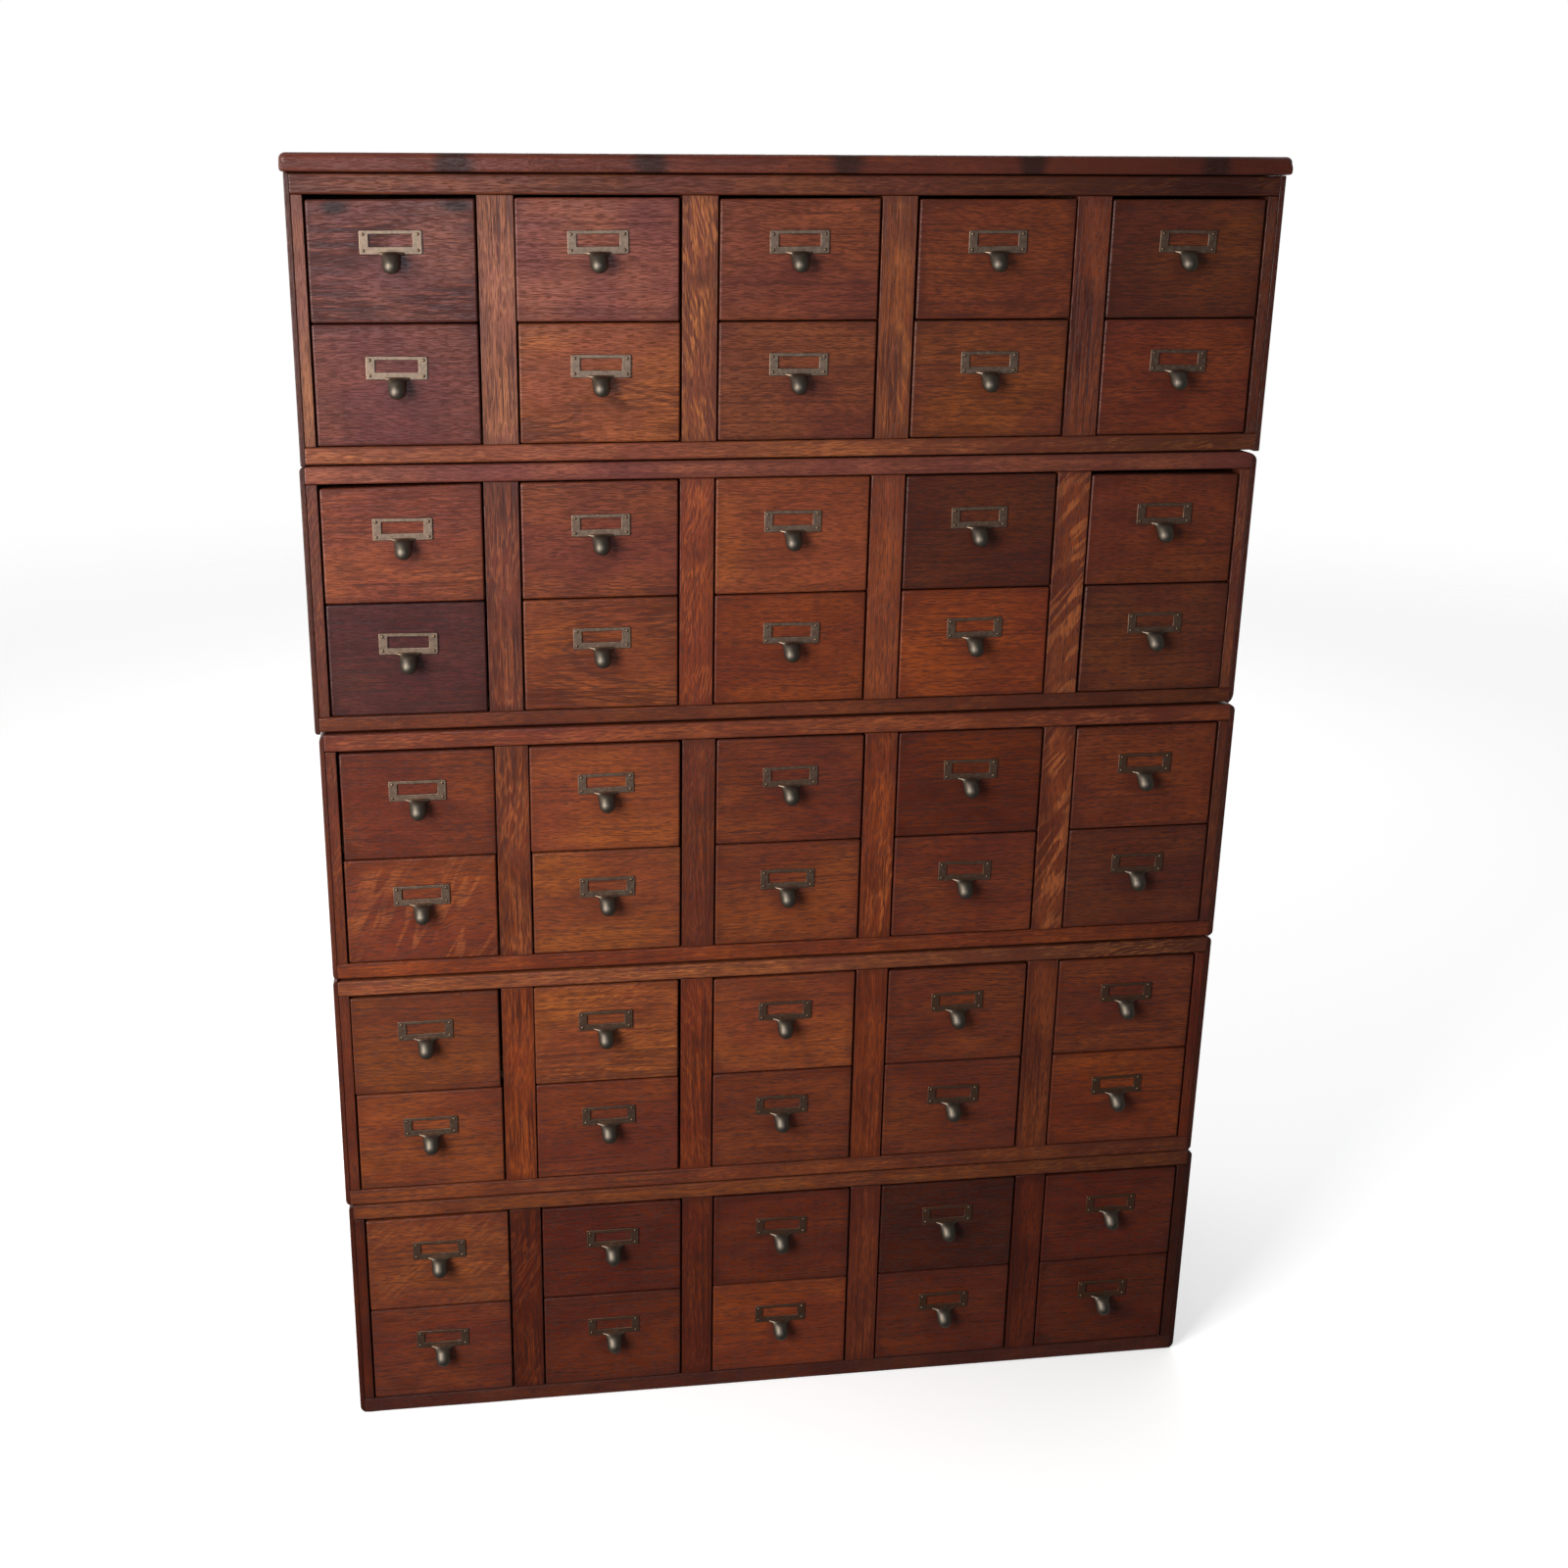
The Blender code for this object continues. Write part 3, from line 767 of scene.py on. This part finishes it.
def runner_boards(chance, section, inner, inside_y, floor):
    """Runner under and guide beside each drawer side, as spans in the section."""
    bay_half = (COLUMN_PITCH - PARTITION_THICKNESS) / 2 - JOINT
    for row in ROWS:
        drawer_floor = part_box(f"drawer_s{section}_{row}_c1")[0].z - floor + BOX_LIFT
        top = drawer_floor - 2 * JOINT
        bottom = top - RUNNER_HEIGHT if row == "upper" else FLOOR_THICKNESS + JOINT
        for column, centre in enumerate(COLUMN_CENTRES):
            for sign in (-1, 1):
                at_end = column == (0 if sign < 0 else COLUMNS - 1)
                wall = sign * inner if at_end else centre + sign * bay_half
                ledge = centre + sign * (BOX_WIDTH / 2 - RUNNER_LEDGE)
                guide = centre + sign * (BOX_WIDTH / 2 + GUIDE_PLAY)
                yield ((wall, ledge), inside_y, (bottom, top), "yzx", sawn(chance, "inside"))
                guide_z = (top + JOINT, top + GUIDE_HEIGHT)
                yield ((wall, guide), inside_y, guide_z, "yzx", sawn(chance, "inside"))


def build_top():
    """Loose top board: well rounded above, hardly below."""
    low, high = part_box("top_board")
    half = (high - low) / 2
    centre = (low + high) / 2

    def shape(point):
        """Round the upper edges more than the lower ones, and most of all the two ends."""
        radius = TOP_EASE_ABOVE if point.z > centre.z else TOP_EASE_BELOW
        if half.x - abs(point.x - centre.x) < TOP_END:
            radius += TOP_EASE_AT_ENDS
        return eased(point - centre, half, radius) + centre

    front_knots = (-0.33, 0.185, -half.y)
    pith = (0.05, 0.06, 0.02)
    # Darker towards the right end: partly stain, partly painted shade.
    wood = Wood(TONES["cherry"], wave=0.8, dirt=0.9, rings=0.9, fade=-0.85, knots=front_knots, pith=pith)
    boards = Boards()
    boards.add(low, high, "xyz", wood, "top", radius=TOP_EASE_BELOW, steps=2, band=TOP_BAND, shape=shape)
    thing = boards.piece("top_plank", "oak_case")
    mount_piece(thing, "carcass", "top_board", "oak_case")


# -------------------------------- drawers
# Tones of the fronts of each section, from left to right.
DRAWER_TONES = {
    1: {"upper": "plum rose brown russet walnut", "lower": "plum golden brown rust russet"},
    2: {"upper": "cherry brown golden dark russet", "lower": "umber amber ember ember walnut"},
    3: {"upper": "russet golden russet ruby russet", "lower": "russet golden rust russet walnut"},
    4: {"upper": "rust golden golden russet russet", "lower": "amber russet russet russet ember"},
    5: {"upper": "rust maroon ruby deep ruby", "lower": "russet ruby ember ruby maroon"},
}

# Fronts whose figure stands out.
FIGURES = {
    (1, "upper", 1): dict(
        wave=0.6, pith=(0.01, 0.075, 0.03), dirt=1.0, rings=1.0, knots=(-0.052, 0.114, 0.050)
    ),
    (1, "lower", 2): dict(wave=0.8, pith=(-0.03, 0.060, -0.08), rings=0.9),
    (2, "upper", 1): dict(wave=0.5, rings=0.7),
    (2, "lower", 2): dict(wave=0.4, pith=(0.0, 0.040, 0.16), rings=0.9),
    (3, "lower", 1): dict(wave=2.4, fleck=0.55, fleck_slope=2.0, fleck_width=0.036, rings=0.1),
    (4, "upper", 2): dict(wave=0.5, fleck=0.3, fleck_slope=0.5, rings=0.8),
    (5, "upper", 1): dict(wave=0.9, fleck=0.3, fleck_slope=0.8, fleck_width=0.009),
}

# Play between each upper front and the rail over it, at the front's left and right end, in mm.
PLAY = {
    1: ((4.6, 3.4), (2.6, 2.2), (3.2, 2.4), (3.1, 2.7), (3.2, 2.8)),
    2: ((4.4, 1.6), (1.7, 1.5), (0.9, 0.9), (1.6, 1.6), (3.6, 5.4)),
    3: ((2.4, 2.6), (2.4, 2.4), (1.7, 1.8), (1.2, 1.6), (3.0, 2.1)),
    4: ((3.2, 2.0), (1.8, 1.5), (2.8, 2.1), (3.3, 3.0), (2.3, 2.9)),
    5: ((3.0, 2.2), (2.2, 2.1), (2.0, 2.5), (1.8, 1.8), (2.7, 2.5)),
}


def drawer_front(spot, node, centre, bottom, chance):
    """Drawer front with eased edges, set a hair out of true."""
    low = Vector((centre - FRONT_WIDTH / 2, FRONT_Y, bottom))
    high = Vector((centre + FRONT_WIDTH / 2, FRONT_Y + FRONT_THICKNESS, bottom + FRONT_HEIGHT))
    section, row, column = spot
    proud = chance.uniform(-0.0003, 0.0005)
    turn = chance.uniform(-0.0012, 0.0012)
    rises = (0.0, 0.0)
    if row == "upper":
        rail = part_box(f"case_s{section}")[1].z - TOP_RAIL - RAIL_DROP[section] * MM
        turn = 0.0
        rises = [rail - play * MM - high.z for play in PLAY[section][column - 1]]

    def shape(point):
        """Set the front back, turn it and plane its upper edge."""
        u = (point.x - centre) / FRONT_WIDTH
        v = (point.z - bottom) / FRONT_HEIGHT
        rise = v * (rises[0] * (0.5 - u) + rises[1] * (0.5 + u)) - turn * u * FRONT_WIDTH
        return Vector((point.x, point.y + proud, point.z + rise))

    tone = DRAWER_TONES[section][row].split()[column - 1]
    wood = sawn(chance, tone)
    if spot in FIGURES:
        wood = replace(wood, **FIGURES[spot])
    boards = Boards()
    boards.add(low, high, "xzy", wood, node, radius=FRONT_EASE, steps=2, spacing=0.02, shape=shape)
    return boards.piece(f"front_{node}", "oak_drawer")


def drawer_box(node, centre, bottom, chance):
    """Two sides, a back and a bottom of pale wood."""
    half = BOX_WIDTH / 2
    inside = half - BOARD_THICKNESS
    side_low = bottom + BOX_LIFT
    start = FRONT_Y + FRONT_THICKNESS + JOINT
    side_y = (start, FRONT_Y + BOX_LENGTH)
    side_z = (side_low, side_low + SIDE_HEIGHT)
    spans = [(sorted((sign * half, sign * inside)), side_y, side_z, "yzx") for sign in (-1, 1)]
    reach = inside - JOINT
    back_end = FRONT_Y + BOX_LENGTH - BACK_INSET
    back_low = side_low + BOTTOM_INSET / 2
    back_y = (back_end - BOARD_THICKNESS, back_end)
    spans.append(((-reach, reach), back_y, (back_low, back_low + BACK_HEIGHT), "xzy"))
    floor_low = side_low + BOTTOM_INSET
    floor_y = (start, back_y[0] - JOINT)
    spans.append(((-reach, reach), floor_y, (floor_low, floor_low + BOTTOM_THICKNESS), "xyz"))
    boards = Boards()
    for number, (x, y, z, axes) in enumerate(spans):
        low = (centre + x[0], y[0], z[0])
        high = (centre + x[1], y[1], z[1])
        boards.add(low, high, axes, sawn(chance, "inside"), f"{node}{number}", radius=BOX_EASE)
    return boards.piece(f"box_{node}", "oak_inside")


def rounded_rectangle(half_width, half_height, radius, steps):
    """Outline of a rectangle with round corners, as (x, z) pairs."""
    points = []
    for quarter in range(4):
        sx = 1 if quarter in (0, 3) else -1
        sz = 1 if quarter in (0, 1) else -1
        for step in range(steps + 1):
            angle = (quarter + step / steps) * math.pi / 2
            x = sx * (half_width - radius) + radius * math.cos(angle)
            z = sz * (half_height - radius) + radius * math.sin(angle)
            points.append((x, z))
    return points


def ring_quads(bm, one, other):
    """Quads between two loops of equal length."""
    for index in range(len(one)):
        following = (index + 1) % len(one)
        bm.faces.new((one[index], one[following], other[following], other[index]))


def card_frame(bm, grime_and_shade, soil, age):
    """Flat frame with a window, its edges softened; age adds grime and soil to all of it."""
    window_top = PLATE_RISE + PLATE_HEIGHT / 2 - WINDOW_TOP_BAR
    window_middle = window_top - WINDOW_HEIGHT / 2
    # Rings from the back of an edge to the face: distance from the edge, depth behind the face, and grime.
    layout = (
        (0.0, PLATE_THICKNESS, 0.9),
        (0.0, PLATE_SOFTNESS, 0.9),
        (PLATE_SOFTNESS, 0.0, 0.2),
        (2 * PLATE_SOFTNESS, 0.0, 0.3),
    )
    plate = (PLATE_RISE, PLATE_WIDTH / 2, PLATE_HEIGHT / 2, PLATE_CORNER)
    window = (window_middle, WINDOW_WIDTH / 2, WINDOW_HEIGHT / 2, WINDOW_CORNER)
    rings = []
    for outline, away, places in ((plate, -1, layout), (window, 1, layout[::-1])):
        middle, half_width, half_height, corner = outline
        for inset, depth, dirt in places:
            moved = away * inset
            path = rounded_rectangle(half_width + moved, half_height + moved, corner, steps=2)
            ring = [bm.verts.new((x, depth - PLATE_THICKNESS, z + middle)) for x, z in path]
            for point in ring:
                point[grime_and_shade] = dirt + age
                point[soil] = SOIL_BY_AGE * age
            rings.append(ring)
    for one, other in zip(rings, rings[1:] + rings[:1]):
        ring_quads(bm, one, other)


def pull_station(share):
    """Half width and height of the finger pull at a share of its straight length."""
    flare_end = 0.36
    ridge_place, ridge_width = 0.14, 0.06
    least_height = 0.0005
    flare = PULL_FLARE * max(0.0, 1 - share / flare_end) ** 2
    ridge = PULL_RIDGE * math.exp(-((share - ridge_place) / ridge_width) ** 2)
    width = PULL_RADIUS * (1.03 - 0.09 * share) + flare + ridge
    height = PULL_HEIGHT * (1 - (1 - share) ** 3) * (1.0 - 0.05 * share) + least_height + ridge
    return width, height


def finger_pull(bm, grime_and_shade, root, age):
    """Hollow half thimble that leaves the lower edge of the plate, pointing forward and down."""
    sides = 14
    straight_steps = 12
    dome_steps = 6
    crowding = 1.4
    least_height = 0.0002
    inside_grime = 1.2
    tip_grime = 0.75
    axis = Vector((0.0, -math.sin(PULL_TILT), -math.cos(PULL_TILT)))
    upward = Vector((0.0, -math.cos(PULL_TILT), math.sin(PULL_TILT)))
    end_width, end_height = pull_station(1.0)

    def rings_of(wall):
        """Rings of one skin; wall is how far it lies inside the outer one."""
        stations = []
        for step in range(straight_steps + 1):
            share = (step / straight_steps) ** crowding
            width, height = pull_station(share)
            stations.append((PULL_LENGTH * share, width - wall, max(height - wall, least_height)))
        for step in range(1, dome_steps):
            angle = step * math.pi / 2 / dome_steps
            along = PULL_LENGTH + (PULL_RADIUS - wall) * math.sin(angle)
            shrink = math.cos(angle)
            stations.append((along, (end_width - wall) * shrink, (end_height - wall) * shrink))
        rings = []
        for along, width, height in stations:
            # Outside the pull the collar by the plate stays clean as a painted highlight, and beyond it
            # the thimble darkens, partly patina and partly painted shade.
            outside_patina_and_shade = min(0.9, max(0.0, 6.0 * along / PULL_LENGTH - 1.0))
            ring = []
            for side in range(sides + 1):
                angle = side * math.pi / sides
                offset = Vector((width * math.cos(angle), 0, 0)) + upward * height * math.sin(angle)
                point = bm.verts.new(root + axis * along + offset)
                point[grime_and_shade] = age + (inside_grime if wall else outside_patina_and_shade)
                ring.append(point)
            rings.append(ring)
        tip = bm.verts.new(root + axis * (PULL_LENGTH + PULL_RADIUS - wall))
        tip[grime_and_shade] = age + (inside_grime if wall else tip_grime)
        return rings, tip

    outer, outer_tip = rings_of(0.0)
    inner, inner_tip = rings_of(PULL_WALL)
    for rings, tip, flip in ((outer, outer_tip, False), (inner, inner_tip, True)):
        faces = []
        for ring, following in zip(rings, rings[1:]):
            for side in range(sides):
                faces.append((ring[side], ring[side + 1], following[side + 1], following[side]))
        for side in range(sides):
            faces.append((rings[-1][side], rings[-1][side + 1], tip))
        for face in faces:
            bm.faces.new(tuple(reversed(face)) if flip else face)
    ring_pairs = list(zip(outer, inner))
    for end in (0, sides):
        edge = [(one[end], other[end]) for one, other in ring_pairs] + [(outer_tip, inner_tip)]
        for (a, b), (c, d) in zip(edge, edge[1:]):
            bm.faces.new((a, c, d, b) if end == 0 else (b, d, c, a))
    for side in range(sides):
        bm.faces.new((outer[0][side + 1], outer[0][side], inner[0][side], inner[0][side + 1]))


def brass_pull(node, place, tilt, age):
    """Card frame and finger pull, one casting."""
    bm = bmesh.new()
    grime_and_shade = bm.verts.layers.float.new("grime_and_shade")
    soil = bm.verts.layers.float.new("soil")
    card_frame(bm, grime_and_shade, soil, age)
    plate_bottom = PLATE_RISE - PLATE_HEIGHT / 2
    finger_pull(bm, grime_and_shade, Vector((0, -PULL_AHEAD, plate_bottom + PULL_OVERLAP)), age)
    bmesh.ops.recalc_face_normals(bm, faces=bm.faces)
    for face in bm.faces:
        face.smooth = True
    bmesh.ops.transform(bm, matrix=place @ tilt, verts=bm.verts)
    return finish_piece(bm, f"pull_{node}", "brass")


def pins(node, place, tilt):
    """Four round-head pins in the corners of the plate."""
    bm = bmesh.new()
    grime_and_shade = bm.verts.layers.float.new("grime_and_shade")
    for sx in (-1, 1):
        for sz in (-1, 1):
            x = sx * (PLATE_WIDTH / 2 - PIN_FROM_END)
            z = PLATE_RISE + sz * (PLATE_HEIGHT / 2 - PIN_FROM_EDGE)
            flat = Matrix.Translation((x, -PLATE_THICKNESS, z)) @ Matrix.Scale(PIN_FLATNESS, 4, (0, 1, 0))
            made = bmesh.ops.create_icosphere(bm, subdivisions=2, radius=PIN_RADIUS, matrix=flat)
            for point in made["verts"]:
                point[grime_and_shade] = PIN_GRIME
    for face in bm.faces:
        face.smooth = True
    bmesh.ops.transform(bm, matrix=place @ tilt, verts=bm.verts)
    return finish_piece(bm, f"pins_{node}", "steel")


def build_drawer(section, row, column):
    """All pieces of one drawer."""
    node = f"drawer_s{section}_{row}_c{column}"
    low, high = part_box(node)
    centre = (low.x + high.x) / 2
    bottom = low.z
    chance = random.Random(1000 * section + 100 * ROWS.index(row) + column)
    spot = (section, row, column)
    front = drawer_front(spot, node, centre, bottom, chance)
    mount_piece(front, node, node, "oak_drawer")
    mount_piece(drawer_box(node, centre, bottom, chance), node, node, "oak_inside")
    sideways = chance.uniform(-0.0012, 0.0012)
    place = Matrix.Translation((centre + sideways, FRONT_Y, bottom + FRONT_HEIGHT / 2))
    tilt = Matrix.Rotation(math.radians(chance.uniform(-0.9, 0.9)), 4, "Y")
    age = AGE_BY_SECTION * (section - 1) + AGE_BY_COLUMN * (column - 1)
    mount_piece(brass_pull(node, place, tilt, age), node, node, "brass")
    mount_piece(pins(node, place, tilt), node, node, "steel")


# -------------------------------- stage
def build_floor():
    """Pale floor that fades into the pale surroundings."""
    radius = 7.0
    fade_start, fade_end = 2.2, 6.6
    bm = bmesh.new()
    bmesh.ops.create_circle(bm, cap_ends=True, segments=96, radius=radius)
    mesh = bpy.data.meshes.new("floor")
    bm.to_mesh(mesh)
    bm.free()
    nodes = Nodes("floor")
    place = nodes.add("ShaderNodeNewGeometry", {}).outputs["Position"]
    x, y, _ = nodes.parts(place)
    nodes.shader.inputs["Base Color"].default_value = (0.95, 0.95, 0.95, 1)
    nodes.shader.inputs["Emission Color"].default_value = (1.0, 1.0, 1.0, 1)
    nodes.shader.inputs["Emission Strength"].default_value = 0.34
    nodes.shader.inputs["Roughness"].default_value = 0.9
    nodes.shader.inputs["Specular IOR Level"].default_value = 0.1
    nodes.feed(nodes.shader.inputs["Alpha"], nodes.step(nodes.distance(x, y), fade_end, fade_start))
    mesh.materials.append(nodes.material)
    floor = bpy.data.objects.new("floor", mesh)
    bpy.context.scene.collection.objects.link(floor)
    floor.location.z = -0.0005
    floor.visible_diffuse = False
    floor.visible_glossy = False


def add_light(name, location, target, size, power, colour):
    """Soft area light aimed at a point."""
    data = bpy.data.lights.new(name, "AREA")
    data.shape = "RECTANGLE"
    data.size, data.size_y = size
    data.energy = power
    data.color = colour
    lamp = bpy.data.objects.new(name, data)
    lamp.location = location
    lamp.rotation_euler = (Vector(target) - Vector(location)).to_track_quat("-Z", "Y").to_euler()
    bpy.context.scene.collection.objects.link(lamp)


def build_world():
    """Pale surroundings, brighter behind the cabinet than in front of it."""
    world = bpy.data.worlds.new("surroundings")
    world.use_nodes = True
    tree = world.node_tree
    background = tree.nodes["Background"]
    coordinates = tree.nodes.new("ShaderNodeTexCoord")
    split = tree.nodes.new("ShaderNodeSeparateXYZ")
    ramp = tree.nodes.new("ShaderNodeMapRange")
    ramp.interpolation_type = "SMOOTHSTEP"
    ramp.inputs["From Min"].default_value = -0.5
    ramp.inputs["From Max"].default_value = 0.7
    ramp.inputs["To Min"].default_value = 0.07
    ramp.inputs["To Max"].default_value = 1.0
    tree.links.new(coordinates.outputs["Generated"], split.inputs[0])
    tree.links.new(split.outputs["Y"], ramp.inputs["Value"])
    tree.links.new(ramp.outputs[0], background.inputs["Strength"])
    background.inputs["Color"].default_value = (1.0, 1.0, 1.0, 1.0)
    bpy.context.scene.world = world


def build_light():
    """Tall window on the left, a cool sheen light by the camera, and light from behind for the floor."""
    add_light("window", (-1.75, -1.60, 1.25), (-0.1, FRONT_Y, 0.80), (1.1, 1.8), 80, (1.0, 0.98, 0.95))
    add_light("sheen", (-0.45, -3.1, 1.42), (-0.35, FRONT_Y, 1.3), (1.0, 0.8), 18, (0.80, 0.88, 1.0))
    add_light("rear", (0.8, 3.0, 2.6), (0, 0.2, 0.6), (2.0, 1.6), 30, (1.0, 1.0, 1.0))


# -------------------------------- assembly
build_top()
for section in range(1, SECTIONS + 1):
    build_case(section)
    for row in ROWS:
        for column in range(1, COLUMNS + 1):
            build_drawer(section, row, column)
build_floor()
build_world()
build_light()
bpy.context.scene.view_settings.view_transform = "Standard"
